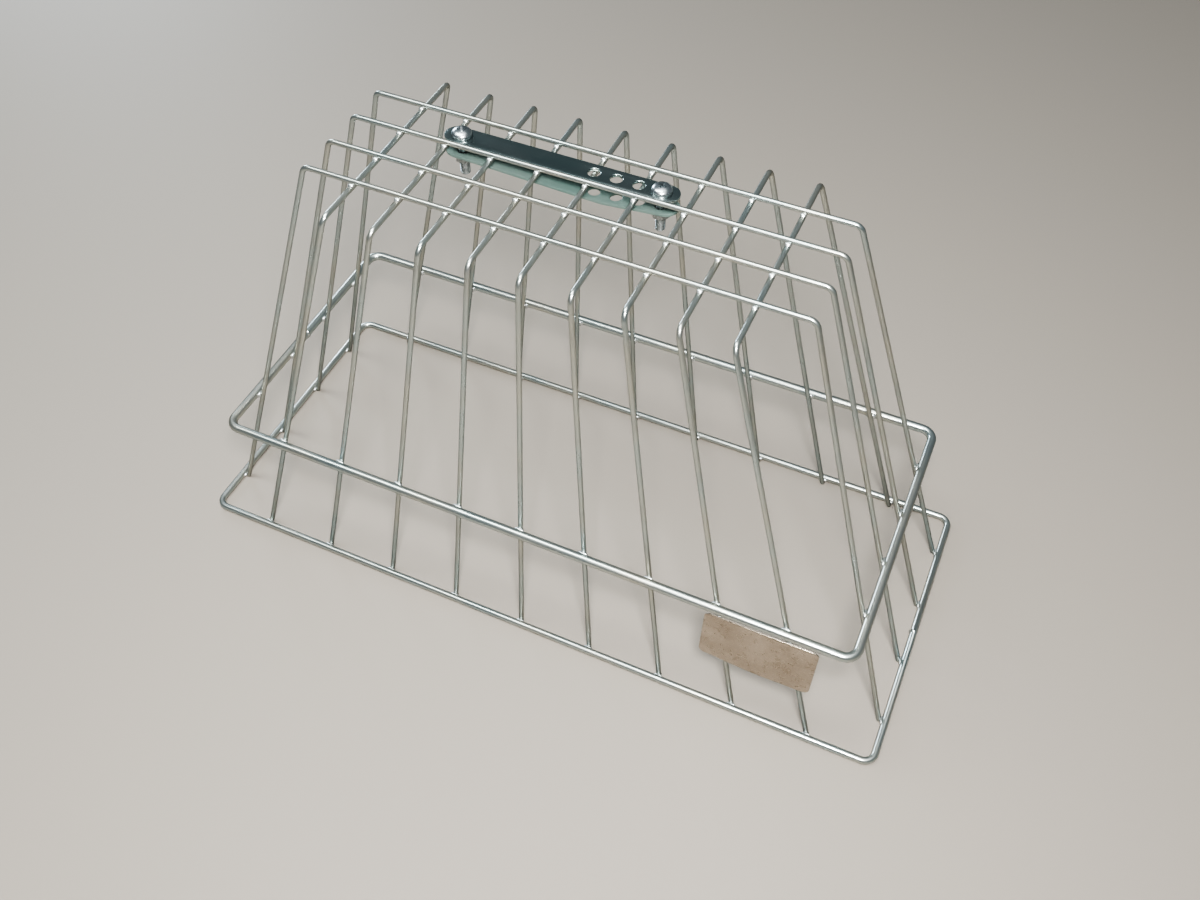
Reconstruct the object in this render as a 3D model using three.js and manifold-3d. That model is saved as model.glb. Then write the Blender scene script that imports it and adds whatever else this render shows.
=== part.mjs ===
// A zinc-plated steel-wire carrier basket standing on its mouth, with the screw clamp in its floor.
// Millimetres, +Z up. X runs along the basket and Y from its near wall to its far wall.
// The origin lies on the surface that the mouth ring stands on, under the middle of the basket.
import * as THREE from "three";
import { mergeVertices } from "three/addons/utils/BufferGeometryUtils.js";
import Module from "manifold-3d";

const wasm = await Module();
wasm.setup();

// Rods and wires
const meshWireDiameter = 2.7;
const mouthRingDiameter = 4;
const reinforcingRingDiameter = 5;
const wireBendRadius = 4.5;
const weldGap = 0.15;
const legFootGap = 0.18;

// Mouth, at the bottom, measured between centre lines of its ring
const mouthLength = 420;
const mouthWidth = 175;
const mouthCornerRadius = 6.5;

// Floor, at the top, measured between the sharp corners of its wires
const floorHeight = 247.5;
const floorLength = 250.6;
const floorWidth = 117;

// Wires that run across, in Y, and the room left beyond the outermost ones
const crossWireCount = 9;
const crossFloorMargin = 26.5;
const crossMouthMargin = 37.6;

// Wires that run along, in X, and the room left beside the outermost ones
const longWireCount = 4;
const longFloorMargin = 25.65;
const longMouthMargin = 27.35;

// Reinforcing ring round the outside of the walls
const reinforcingRingHeight = 82;
const reinforcingCornerRadius = 7;

// Clamp: two alike straps, one over and one under the cross wires, drawn together by two screws
const strapThickness = 1.5;
const strapEdge = 3;
const strapEndMargin = 8.9;
const strapHoleClearance = 0.5;
const spareHoleCount = 3;
const spareHoleWeb = 5.4;
const strapSideGap = 0.35;
const strapSeatGap = 0.3;
const clampSlack = 3.7;
const strapBesideLongWire = 3;

// Screws and nuts
const screwDiameter = 5;
const screwTail = 8.3;
const screwTipChamfer = 0.8;
const headOverhang = 2.5;
const headHeight = 3.7;
const headSideHeight = 1.3;
const recessLength = 5;
const recessWidth = 1.1;
const recessDepth = 2;
const nutWall = 1.2;
const nutHeight = 4;
const threadClearance = 0.3;
const leftScrewAfterCrossWire = 2;
const leftScrewWireGap = 1.25;
const rightScrewAfterCrossWire = 6;
const rightScrewWireGap = 6.45;

// Plate spot-welded to the two last cross wires of the near wall, just under the reinforcing ring
const plateWidth = 61.3;
const plateHeight = 32.9;
const plateThickness = 0.6;
const plateCornerRadius = 3;
const plateShift = 0.6;
const plateRingGap = 6.1;
const plateWeldGap = 0.3;

// Facets of round shapes
const wireSides = 12;
const bendSteps = 5;
const cornerSteps = 3;
const ringBevelSteps = 2;
const holeSides = 16;
const screwSides = 16;
const domeSteps = 4;
const nutSides = 6;

// How far a corner of a many-sided section reaches beyond its flats
const wireReach = 1 / Math.cos(Math.PI / wireSides);
const wireRadius = meshWireDiameter / 2;

const zinc = { color: 0xb7bcb8, metalness: 1, roughness: 0.28 };
const zincStrap = { color: 0x93a39f, metalness: 1, roughness: 0.32 };
const zincFastener = { color: 0xc4cacb, metalness: 1, roughness: 0.2 };
const plainPlate = { color: 0xa39484, metalness: 0.7, roughness: 0.55 };

const basket = new THREE.Group();

function addPiece(name, geometry, look, parent = basket) {
  const mesh = new THREE.Mesh(geometry, new THREE.MeshStandardMaterial(look));
  mesh.name = name;
  parent.add(mesh);
  return mesh;
}

// Solids for cutting one shape out of another
function toSolid(geometry) {
  const bare = geometry.clone();
  bare.deleteAttribute("normal");
  bare.deleteAttribute("uv");
  const merged = mergeVertices(bare);
  const vertProperties = merged.attributes.position.array;
  const triVerts = new Uint32Array(merged.index.array);
  return new wasm.Manifold(new wasm.Mesh({ numProp: 3, vertProperties, triVerts }));
}

function toGeometry(solid) {
  const { vertProperties, triVerts } = solid.getMesh();
  const geometry = new THREE.BufferGeometry();
  geometry.setAttribute("position", new THREE.BufferAttribute(vertProperties, 3));
  geometry.setIndex(new THREE.BufferAttribute(triVerts, 1));
  geometry.computeVertexNormals();
  return geometry;
}

// The path of a bent wire: it lies in one plane, with straight runs and round bends.
class WirePath extends THREE.Curve {
  constructor(corners, bendRadius) {
    super();
    this.points = [corners[0]];
    for (let i = 1; i < corners.length - 1; i++) this.addBend(corners, i, bendRadius);
    this.points.push(corners[corners.length - 1]);
    const firstRun = corners[1].clone().sub(corners[0]);
    const secondRun = corners[2].clone().sub(corners[1]);
    this.planeNormal = firstRun.cross(secondRun).normalize();
  }

  addBend(corners, i, bendRadius) {
    const before = corners[i].clone().sub(corners[i - 1]).normalize();
    const after = corners[i + 1].clone().sub(corners[i]).normalize();
    const turn = before.angleTo(after);
    const inward = after.clone().addScaledVector(before, -before.dot(after)).normalize();
    const start = corners[i].clone().addScaledVector(before, -bendRadius * Math.tan(turn / 2));
    const centre = start.clone().addScaledVector(inward, bendRadius);
    for (let step = 0; step <= bendSteps; step++) {
      const angle = (turn * step) / bendSteps;
      const point = centre.clone().addScaledVector(inward, -bendRadius * Math.cos(angle));
      this.points.push(point.addScaledVector(before, bendRadius * Math.sin(angle)));
    }
  }

  getSpacedPoints() {
    return this.points;
  }

  computeFrenetFrames() {
    const last = this.points.length - 1;
    const tangents = this.points.map((point, i) => {
      const ahead = this.points[Math.min(i + 1, last)].clone().sub(i < last ? point : this.points[i - 1]);
      const behind = point.clone().sub(this.points[Math.max(i - 1, 0)]);
      return ahead.normalize().add(behind.normalize()).normalize();
    });
    const binormals = this.points.map(() => this.planeNormal.clone());
    const normals = tangents.map((tangent) => this.planeNormal.clone().cross(tangent));
    return { tangents, normals, binormals };
  }
}

// Round wire as a many-sided bar whose width across flats is its diameter
function bentWire(corners) {
  const section = new THREE.Shape();
  for (let side = 0; side < wireSides; side++) {
    const angle = ((side + 0.5) * 2 * Math.PI) / wireSides;
    const x = wireRadius * wireReach * Math.cos(angle);
    const y = wireRadius * wireReach * Math.sin(angle);
    if (side === 0) section.moveTo(x, y);
    else section.lineTo(x, y);
  }
  const path = new WirePath(corners, wireBendRadius);
  return new THREE.ExtrudeGeometry(section, { steps: path.points.length - 1, extrudePath: path });
}

function roundedRectangle(target, length, width, radius) {
  const x = length / 2 - radius;
  const y = width / 2 - radius;
  target.absarc(x, -y, radius, -Math.PI / 2, 0);
  target.absarc(x, y, radius, 0, Math.PI / 2);
  target.absarc(-x, y, radius, Math.PI / 2, Math.PI);
  target.absarc(-x, -y, radius, Math.PI, 1.5 * Math.PI);
  return target;
}

// Rod ring: flat on top, below, inside and outside, with its edges rounded off
function rodRing(length, width, cornerRadius, diameter) {
  const outline = roundedRectangle(
    new THREE.Shape(), length + diameter, width + diameter, cornerRadius + diameter / 2,
  );
  outline.holes.push(
    roundedRectangle(new THREE.Path(), length - diameter, width - diameter, cornerRadius - diameter / 2),
  );
  const flat = diameter * Math.tan(Math.PI / wireSides);
  const rounding = (diameter - flat) / 2;
  const ring = new THREE.ExtrudeGeometry(outline, {
    depth: flat,
    curveSegments: cornerSteps,
    bevelThickness: rounding,
    bevelSize: rounding,
    bevelOffset: -rounding,
    bevelSegments: ringBevelSteps,
  });
  return ring.translate(0, 0, -flat / 2);
}

// Where a wall's legs run, seen along the wall: from the floor's sharp corner to inside the mouth ring.
function legLine(floorHalf, cornerHeight, mouthHalf) {
  const touch = (wireRadius + mouthRingDiameter / 2) * wireReach + weldGap;
  const rise = cornerHeight - mouthRingDiameter / 2;
  const slope = Math.atan2(mouthHalf - touch - floorHalf, rise);
  const run = mouthHalf - touch / Math.cos(slope) - floorHalf;
  const slant = Math.atan2(run, rise);
  const outAt = (z) => floorHalf + (cornerHeight - z) * Math.tan(slant);
  const footHeight = legFootGap + wireRadius * wireReach * Math.sin(slant);
  return { outAt, slant, cornerHeight, footHeight };
}

// Share of the way down from the floor's corner to the mouth ring's centre line
function shareDown(line, z) {
  return (line.cornerHeight - z) / (line.cornerHeight - mouthRingDiameter / 2);
}

const crossHeight = floorHeight - meshWireDiameter - weldGap;
const sideLine = legLine(floorWidth / 2, crossHeight, mouthWidth / 2);
const endLine = legLine(floorLength / 2, floorHeight, mouthLength / 2);

const crossFloorPitch = (floorLength - 2 * crossFloorMargin) / (crossWireCount - 1);
const crossMouthPitch = (mouthLength - 2 * crossMouthMargin) / (crossWireCount - 1);
const longFloorPitch = (floorWidth - 2 * longFloorMargin) / (longWireCount - 1);
const longMouthPitch = (mouthWidth - 2 * longMouthMargin) / (longWireCount - 1);
const placeInRow = (number, count) => number - (count + 1) / 2;

// X of a cross wire's leg at a height, and Y of a long wire's leg
function crossWireX(number, z) {
  const pitch = THREE.MathUtils.lerp(crossFloorPitch, crossMouthPitch, shareDown(sideLine, z));
  return placeInRow(number, crossWireCount) * pitch;
}

function longWireY(number, z) {
  const pitch = THREE.MathUtils.lerp(longFloorPitch, longMouthPitch, shareDown(endLine, z));
  return placeInRow(number, longWireCount) * pitch;
}

// A wire's corners: foot, floor, floor and foot again
function wireCorners(line, corner) {
  const { cornerHeight, footHeight } = line;
  return [corner(-1, footHeight), corner(-1, cornerHeight), corner(1, cornerHeight), corner(1, footHeight)];
}

// Wires
for (let number = 1; number <= longWireCount; number++) {
  const corner = (side, z) => new THREE.Vector3(side * endLine.outAt(z), longWireY(number, z), z);
  addPiece(`long_wire_${number}`, bentWire(wireCorners(endLine, corner)), zinc);
}

for (let number = 1; number <= crossWireCount; number++) {
  const corner = (side, z) => new THREE.Vector3(crossWireX(number, z), side * sideLine.outAt(z), z);
  addPiece(`cross_wire_${number}`, bentWire(wireCorners(sideLine, corner)), zinc);
}

// Rings
const mouthRing = addPiece(
  "mouth_ring", rodRing(mouthLength, mouthWidth, mouthCornerRadius, mouthRingDiameter), zinc,
);
mouthRing.position.z = mouthRingDiameter / 2;

const outsideWires = (wireRadius + reinforcingRingDiameter / 2) * wireReach + weldGap;
const ringHalf = (line) => line.outAt(reinforcingRingHeight) + outsideWires / Math.cos(line.slant);
const reinforcingRing = addPiece(
  "reinforcing_ring",
  rodRing(2 * ringHalf(endLine), 2 * ringHalf(sideLine), reinforcingCornerRadius, reinforcingRingDiameter),
  zinc,
);
reinforcingRing.position.z = reinforcingRingHeight;

// Clamp
const strapHoleDiameter = screwDiameter + 2 * strapHoleClearance;
const strapWidth = strapHoleDiameter + 2 * strapEdge;
const spareHolePitch = strapHoleDiameter + spareHoleWeb;
const headDiameter = screwDiameter + 2 * headOverhang;
const screwReach = (screwDiameter + meshWireDiameter) / 2;
const leftScrewX = crossWireX(leftScrewAfterCrossWire, crossHeight) + screwReach + leftScrewWireGap;
const rightScrewX = crossWireX(rightScrewAfterCrossWire, crossHeight) + screwReach + rightScrewWireGap;
const clampHalfWidth = Math.max(strapWidth, headDiameter) / 2;
const clampY =
  longWireY(strapBesideLongWire, floorHeight) + wireRadius * wireReach + strapSideGap + clampHalfWidth;
const outerStrapBottom = crossHeight + wireRadius + strapSeatGap;
const outerStrapTop = outerStrapBottom + strapThickness;
const innerStrapTop = crossHeight - wireRadius - clampSlack;
const innerStrapBottom = innerStrapTop - strapThickness;
const nutBottom = innerStrapBottom - nutHeight;
const screwLength = outerStrapTop - nutBottom + screwTail;

function circleHole(x, diameter) {
  const hole = new THREE.Path();
  for (let side = 0; side < holeSides; side++) {
    const angle = (-side * 2 * Math.PI) / holeSides;
    const reach = diameter / 2 / Math.cos(Math.PI / holeSides);
    if (side === 0) hole.moveTo(x + reach, 0);
    else hole.lineTo(x + reach * Math.cos(angle), reach * Math.sin(angle));
  }
  hole.closePath();
  return hole;
}

function strap() {
  const roundRadius = strapWidth / 2;
  const leftRound = leftScrewX - strapEndMargin + roundRadius;
  const rightRound = rightScrewX + strapEndMargin - roundRadius;
  const outline = new THREE.Shape();
  outline.absarc(leftRound, 0, roundRadius, Math.PI / 2, 1.5 * Math.PI);
  outline.absarc(rightRound, 0, roundRadius, -Math.PI / 2, Math.PI / 2);
  outline.holes.push(circleHole(leftScrewX, strapHoleDiameter));
  for (let spare = 0; spare <= spareHoleCount; spare++) {
    outline.holes.push(circleHole(rightScrewX - spare * spareHolePitch, strapHoleDiameter));
  }
  return new THREE.ExtrudeGeometry(outline, {
    depth: strapThickness, bevelEnabled: false, curveSegments: holeSides / 4,
  });
}

addPiece("outer_strap", strap(), zincStrap).position.set(0, clampY, outerStrapBottom);
addPiece("inner_strap", strap(), zincStrap).position.set(0, clampY, innerStrapBottom);

// Pan-head screw with a cross recess, its head's underside at height 0
function screw() {
  const radius = screwDiameter / 2;
  const headRadius = headDiameter / 2;
  const profile = [
    new THREE.Vector2(0, -screwLength),
    new THREE.Vector2(radius - screwTipChamfer, -screwLength),
    new THREE.Vector2(radius, -screwLength + screwTipChamfer),
    new THREE.Vector2(radius, 0),
    new THREE.Vector2(headRadius, 0),
  ];
  for (let step = 0; step < domeSteps; step++) {
    const angle = (step * Math.PI) / 2 / domeSteps;
    const up = headSideHeight + (headHeight - headSideHeight) * Math.sin(angle);
    profile.push(new THREE.Vector2(headRadius * Math.cos(angle), up));
  }
  profile.push(new THREE.Vector2(0, headHeight));
  let solid = toSolid(new THREE.LatheGeometry(profile, screwSides).rotateX(Math.PI / 2));
  for (const turn of [0, Math.PI / 2]) {
    const slot = new THREE.BoxGeometry(recessLength, recessWidth, 2 * recessDepth);
    slot.rotateZ(turn).translate(0, 0, headHeight);
    solid = solid.subtract(toSolid(slot));
  }
  return toGeometry(solid);
}

function nut() {
  const outline = new THREE.Shape();
  const bore = screwDiameter + 2 * threadClearance;
  const corner = (bore / 2 + nutWall) / Math.cos(Math.PI / nutSides);
  for (let side = 0; side < nutSides; side++) {
    const angle = (side * 2 * Math.PI) / nutSides;
    if (side === 0) outline.moveTo(corner, 0);
    else outline.lineTo(corner * Math.cos(angle), corner * Math.sin(angle));
  }
  outline.closePath();
  outline.holes.push(circleHole(0, bore));
  return new THREE.ExtrudeGeometry(outline, { depth: nutHeight, bevelEnabled: false });
}

for (const [side, x] of [["left", leftScrewX], ["right", rightScrewX]]) {
  addPiece(`${side}_screw`, screw(), zincFastener).position.set(x, clampY, outerStrapTop);
  addPiece(`${side}_nut`, nut(), zincFastener).position.set(x, clampY, nutBottom);
}

// Plate: its own X runs along the wall, its own Y up the slanted wall and its own Z out of the wall.
const plateOut = wireRadius * wireReach + plateWeldGap;
const plateTopDrop = reinforcingRingDiameter / 2 * wireReach ** 2 + plateRingGap;
const plateMiddle = new THREE.Group();
const plateMiddleZ = reinforcingRingHeight - (plateTopDrop + plateHeight / 2) * Math.cos(sideLine.slant);
const lastWireX = crossWireX(crossWireCount, plateMiddleZ);
const plateX = (crossWireX(crossWireCount - 1, plateMiddleZ) + lastWireX) / 2 + plateShift;
plateMiddle.position.set(plateX, -sideLine.outAt(plateMiddleZ), plateMiddleZ);
plateMiddle.rotation.x = Math.PI / 2 - sideLine.slant;
basket.add(plateMiddle);

const plateOutline = roundedRectangle(new THREE.Shape(), plateWidth, plateHeight, plateCornerRadius);
const plate = new THREE.ExtrudeGeometry(plateOutline, {
  depth: plateThickness, bevelEnabled: false, curveSegments: cornerSteps,
});
addPiece("nameplate", plate, plainPlate, plateMiddle).position.z = plateOut;

export default basket;
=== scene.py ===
# %% [markdown]
# # A steel wire basket, stored mouth down
# The measured model of the basket comes first: it has every wire, ring, strap, screw and nut in its
# true place, but with few sides and plain colours. It could be painted as it is. Here each of its
# pieces is modelled again with round sections, welds and threads, because a thin bright wire shows
# its section in every highlight. The measured box is kept, since the finished basket has to fit it.

# %% Load the measured model
import math
import random

import bmesh
import bpy
import numpy as np
from mathutils import Matrix, Vector


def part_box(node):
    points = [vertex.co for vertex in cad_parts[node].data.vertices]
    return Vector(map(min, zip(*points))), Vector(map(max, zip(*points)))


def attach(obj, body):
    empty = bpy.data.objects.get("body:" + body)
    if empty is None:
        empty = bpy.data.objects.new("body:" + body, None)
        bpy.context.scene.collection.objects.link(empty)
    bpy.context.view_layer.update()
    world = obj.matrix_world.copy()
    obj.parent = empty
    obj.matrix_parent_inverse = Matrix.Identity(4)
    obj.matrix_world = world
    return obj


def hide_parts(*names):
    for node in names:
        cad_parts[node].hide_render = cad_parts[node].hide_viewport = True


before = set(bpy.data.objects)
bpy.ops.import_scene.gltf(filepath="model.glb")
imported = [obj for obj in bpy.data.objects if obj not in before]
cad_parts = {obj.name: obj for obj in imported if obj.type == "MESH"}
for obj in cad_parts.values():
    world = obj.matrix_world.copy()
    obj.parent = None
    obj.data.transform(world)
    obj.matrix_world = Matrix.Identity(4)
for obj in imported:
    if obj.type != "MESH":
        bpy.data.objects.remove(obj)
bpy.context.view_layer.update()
MM = 0.001

# %% [markdown]
# ## Working habits
# An operator acts on all that is selected, so each piece starts with an empty selection. A new
# primitive keeps its place in its object, and applying the transform moves that into the mesh, where
# edit mode and the world then share one set of coordinates. Faces and edges could be picked by
# number, but numbers change with every edit, so they are picked by place and normal.

# %% Selecting, placing and applying
def deselect_all():
    bpy.ops.object.select_all(action="DESELECT")


def select_only(piece):
    deselect_all()
    piece.select_set(True)
    bpy.context.view_layer.objects.active = piece


def name_and_place(name):
    """Names the new primitive and moves its place, turn and size into its mesh."""
    piece = bpy.context.object
    piece.name = name
    piece.data.name = name
    bpy.ops.object.transform_apply(location=True, rotation=True, scale=True)
    return piece


def edit_all():
    """Goes into edit mode with the whole mesh selected, point by point."""
    bpy.ops.object.mode_set(mode="EDIT")
    bpy.ops.mesh.select_mode(type="VERT")
    bpy.ops.mesh.select_all(action="SELECT")


def leave_edit():
    bpy.ops.object.mode_set(mode="OBJECT")


def leave_facing_out():
    """Turns every face outwards and leaves edit mode."""
    bpy.ops.mesh.select_all(action="SELECT")
    bpy.ops.mesh.normals_make_consistent(inside=False)
    leave_edit()


def select_where(kind, test):
    """In edit mode, selects only the faces, edges or points that pass a test."""
    bpy.ops.mesh.select_mode(type=kind)
    bpy.ops.mesh.select_all(action="DESELECT")
    mesh = bpy.context.edit_object.data
    cage = bmesh.from_edit_mesh(mesh)
    parts = {"FACE": cage.faces, "EDGE": cage.edges, "VERT": cage.verts}[kind]
    picked = [part for part in parts if test(part)]
    for part in picked:
        part.select_set(True)
    bmesh.update_edit_mesh(mesh)
    return len(picked)


def apply_modifier(piece, kind, **settings):
    """Adds one modifier, sets it and applies it."""
    bpy.context.view_layer.objects.active = piece
    modifier = piece.modifiers.new(kind.title(), kind)
    for name, value in settings.items():
        setattr(modifier, name, value)
    bpy.ops.object.modifier_apply(modifier=modifier.name)


def combine(piece, tool, operation):
    """Joins, cuts or trims a piece with a tool object, which is then removed."""
    apply_modifier(piece, "BOOLEAN", object=tool, operation=operation, solver="EXACT")
    bpy.data.objects.remove(tool, do_unlink=True)


def smooth_faces(piece, degrees):
    """Shades a piece smooth, except over edges that turn further than this."""
    select_only(piece)
    bpy.ops.object.shade_smooth_by_angle(angle=math.radians(degrees))


def open_edges(piece):
    """Number of edges that don't join exactly two faces."""
    cage = bmesh.new()
    cage.from_mesh(piece.data)
    count = sum(not edge.is_manifold for edge in cage.edges)
    cage.free()
    return count


def finish_piece(piece, finish, body, slot, *nodes):
    """Gives a piece its finish and its body, and hides the measured nodes that it stands for. The slot
    is not used.
    """
    piece.data.materials.clear()
    piece.data.materials.append(finish.material)
    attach(piece, body)
    if nodes:
        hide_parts(*nodes)
    print(piece.name, len(piece.data.polygons), "faces,", open_edges(piece), "open edges")


def middle_and_size(node):
    """Middle and size of a measured node's box."""
    low, high = (Vector(corner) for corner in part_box(node))
    return (low + high) / 2, high - low


# %% [markdown]
# ## The camera
# The camera could be set by eye, but the straight wires of the basket give its place exactly: they
# were matched to the view as a whole, which gave a viewpoint to the right of the near wall and above
# it. A lens of about 35 mm and a short distance make the near mouth ring look wide.

# %% Camera
CAMERA_PLACE = (183.0 * MM, -380.1 * MM, 584.6 * MM)
CAMERA_AZIMUTH = math.radians(24.19)
CAMERA_ELEVATION = math.radians(51.06)
CAMERA_LENS = 34.63
SENSOR_WIDTH = 36.0
NEAREST_SEEN = 10 * MM

deselect_all()
bpy.ops.object.camera_add(
    location=CAMERA_PLACE,
    rotation=(math.pi / 2 - CAMERA_ELEVATION, 0, CAMERA_AZIMUTH),
)
camera = bpy.context.object
camera.name = "photo_camera"
camera.data.lens = CAMERA_LENS
camera.data.sensor_width = SENSOR_WIDTH
camera.data.clip_start = NEAREST_SEEN
bpy.context.scene.camera = camera
print("camera at", tuple(round(c, 3) for c in camera.location))

# %% [markdown]
# ## A shorthand for finishes
# A finish is a network of nodes. Drawn by hand it soon becomes hard to read, so two small classes
# write it as sums: a Tone is one value that changes over a surface, and adding or multiplying tones
# adds the Math nodes. Everything else, such as noise or a mix of colours, comes from the one method
# `node` of the Finish.

# %% Tone and Finish
class Tone:
    """One value that varies over a surface. Python's operators on it add Math nodes."""

    def __init__(self, finish, socket):
        self.finish = finish
        self.socket = socket

    def math(self, operation, first, second):
        return self.finish.node("ShaderNodeMath", {"operation": operation}, {0: first, 1: second})

    def __add__(self, other):
        return self.math("ADD", self, other)

    __radd__ = __add__

    def __mul__(self, other):
        return self.math("MULTIPLY", self, other)

    __rmul__ = __mul__


class Finish:
    """One material while it is being built."""

    def __init__(self, name):
        self.material = bpy.data.materials.new(name)
        self.material.use_nodes = True
        self.tree = self.material.node_tree
        self.shader = self.tree.nodes["Principled BSDF"]

    def feed(self, node, inputs):
        """Sets or links the named sockets of a node."""
        for name, value in inputs.items():
            if isinstance(value, Tone):
                self.tree.links.new(value.socket, node.inputs[name])
            else:
                node.inputs[name].default_value = value

    def node(self, kind, settings, inputs, output=0):
        """Adds a node, with its settings first, and returns one of its outputs."""
        added = self.tree.nodes.new(kind)
        for name, value in settings.items():
            if name == "stops":
                ramp = added.color_ramp.elements
                for element, (position, shade) in zip(ramp, value):
                    element.position = position
                    element.color = shade
            else:
                setattr(added, name, value)
        self.feed(added, inputs)
        return Tone(self, added.outputs[output])

    def surface(self, inputs):
        """Sets or links the shader itself."""
        self.feed(self.shader, inputs)


# %% [markdown]
# ## Patterns that several finishes share
# Plated metal is never one flat grey. The plating varies in soft clouds, its surface keeps the fine
# lines of the die or the rolls, and it is mottled where it was welded, and paler there, partly as a
# painted highlight for the glints of the welds. Each pattern is one noise, stretched by a Mapping
# node, so that its scale can be given in cycles per metre. What is left to choose is how gritty the
# noise is. Some sockets share a name with others, so they go by number.

# %% Shared patterns
MIX_FACTOR = 0
MIX_FIRST = 6
MIX_SECOND = 7
MIX_COLOUR = 2
ATTRIBUTE_VECTOR = 1
OBJECT_PLACE = 3
CLOUDY_NOISE = {"Detail": 3.0, "Roughness": 0.5}
GRITTY_NOISE = {"Detail": 3.0, "Roughness": 0.6}
CLOUD_RANGE = (0.35, 0.65)


def object_place(finish):
    return finish.node("ShaderNodeTexCoord", {}, {}, OBJECT_PLACE)


def stretched_noise(place, cycles, grit):
    """Noise with so many cycles per metre along each axis."""
    finish = place.finish
    stretched = finish.node("ShaderNodeMapping", {}, {"Vector": place, "Scale": cycles})
    return finish.node("ShaderNodeTexNoise", {}, {"Vector": stretched, "Scale": 1.0, **grit})


def sharpened(tone, values):
    """Spreads the values between a low and a high one over the whole range from 0 to 1."""
    low, high = values
    stops = [(low, (0, 0, 0, 1)), (high, (1, 1, 1, 1))]
    return tone.finish.node("ShaderNodeValToRGB", {"stops": stops}, {"Fac": tone})


def patches(place, cycles, grit, values):
    """Noise that is sharpened into patches."""
    return sharpened(stretched_noise(place, cycles, grit), values)


def mixed_colour(factor, first, second):
    inputs = {MIX_FACTOR: factor, MIX_FIRST: first, MIX_SECOND: second}
    return factor.finish.node("ShaderNodeMix", {"data_type": "RGBA"}, inputs, MIX_COLOUR)


def bumped(height, distance, strength):
    inputs = {"Height": height, "Distance": distance, "Strength": strength}
    return height.finish.node("ShaderNodeBump", {}, inputs)


# %% [markdown]
# ## The zinc on the wires
# The wires and rings are drawn steel wire, plated with bright zinc after welding. The plating is
# glossy, with a cool tint in some places and a faint straw tint in others. A single metallic colour
# would look like plastic chrome, so the tint, the roughness and the fine die lines come from noise. A
# dark edge tint keeps the rims of the rods from turning white. The die lines follow each bend, so
# they read an attribute that the wire code stores: a point's place on the wire as if it were
# straight.

# %% Wire finish
COOL_ZINC = (0.48, 0.54, 0.535, 1)
STRAW_ZINC = (0.55, 0.55, 0.50, 1)
DULL_ZINC = (0.38, 0.40, 0.40, 1)
ZINC_EDGE = (0.28, 0.30, 0.31, 1)
EVEN_NOISE = {"Detail": 2.0, "Roughness": 0.5}
DIE_LINES = (1500, 1500, 8)
WIRE_CLOUDS = (24, 24, 24)
WIRE_SMUDGES = (160, 160, 45)
SMUDGE_RANGE = (0.52, 0.72)
SMUDGE_SHARE = 0.5
WIRE_METALLIC = 0.95
WIRE_ROUGHNESS = 0.25
ROUGHER_CLOUDS = 0.05
ROUGHER_LINES = 0.05
ROUGHER_SMUDGES = 0.06
DIE_LINE_DEPTH = 0.005 * MM
DIE_LINE_STRENGTH = 0.3
RUN_ATTRIBUTE = "straight_run"


def zinc_wire_finish():
    finish = Finish("zinc_wire")
    place = object_place(finish)
    settings = {"attribute_name": RUN_ATTRIBUTE}
    run = finish.node("ShaderNodeAttribute", settings, {}, ATTRIBUTE_VECTOR)
    lines = stretched_noise(run, DIE_LINES, EVEN_NOISE)
    clouds = patches(place, WIRE_CLOUDS, CLOUDY_NOISE, CLOUD_RANGE)
    smudges = patches(run, WIRE_SMUDGES, CLOUDY_NOISE, SMUDGE_RANGE)
    tint = mixed_colour(clouds, COOL_ZINC, STRAW_ZINC)
    roughness = WIRE_ROUGHNESS + clouds * ROUGHER_CLOUDS + lines * ROUGHER_LINES
    finish.surface({
        "Base Color": mixed_colour(smudges * SMUDGE_SHARE, tint, DULL_ZINC),
        "Metallic": WIRE_METALLIC,
        "Specular Tint": ZINC_EDGE,
        "Roughness": roughness + smudges * ROUGHER_SMUDGES,
        "Normal": bumped(lines, DIE_LINE_DEPTH, DIE_LINE_STRENGTH),
    })
    return finish


wire_finish = zinc_wire_finish()
print("wire finish has", len(wire_finish.tree.nodes), "nodes")

# %% [markdown]
# ## Sizes of the wires
# The box of a measured wire gives almost everything: its top is the floor, and its lowest, outermost
# corner is touched by the rim of a foot. What a box can't show is where the straight floor run and
# the leg would meet, so the length and width of the floor are stated here. The foot then follows in
# a few rounds, because how far its rim reaches depends on the slope of the leg, and so on the foot.

# %% Wire sizes
FLOOR_LENGTH = 250.6 * MM
FLOOR_WIDTH = 117.0 * MM
WIRE_BEND_RADIUS = 4.5 * MM
LONG_WIRES = 4
CROSS_WIRES = 9
SLOPE_ROUNDS = 6

middle_wire_size = middle_and_size("cross_wire_5")[1]
wire_radius = middle_wire_size.x / 2


def foot_of_leg(corner, rim):
    """Middle of a foot, from the upper corner of its leg and the box corner that its rim touches."""
    inwards = (-math.copysign(1, rim.x), -math.copysign(1, rim.y), 1)
    foot = rim
    for _ in range(SLOPE_ROUNDS):
        leg = (corner - foot).normalized()
        reach = [wire_radius * math.sqrt(1 - slope ** 2) for slope in leg]
        foot = rim + Vector([way * length for way, length in zip(inwards, reach)])
    return foot


def wire_corners(name, along, half_run):
    """Foot, bend, bend and foot of a wire, whose floor run lies along axis 0 or 1."""
    low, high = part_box(name)
    fan = 1 - along
    inner, outer = (low, high) if low[fan] + high[fan] >= 0 else (high, low)
    bend = Vector((0, 0, high[2] - wire_radius))
    bend[along] = half_run
    bend[fan] = inner[fan] + math.copysign(wire_radius, outer[fan])
    rim = Vector((0, 0, low[2]))
    rim[along] = high[along]
    rim[fan] = outer[fan]
    foot = foot_of_leg(bend, rim)
    other_bend = bend.copy()
    other_foot = foot.copy()
    other_bend[along] = -bend[along]
    other_foot[along] = -foot[along]
    return [other_foot, other_bend, bend, foot]


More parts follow.
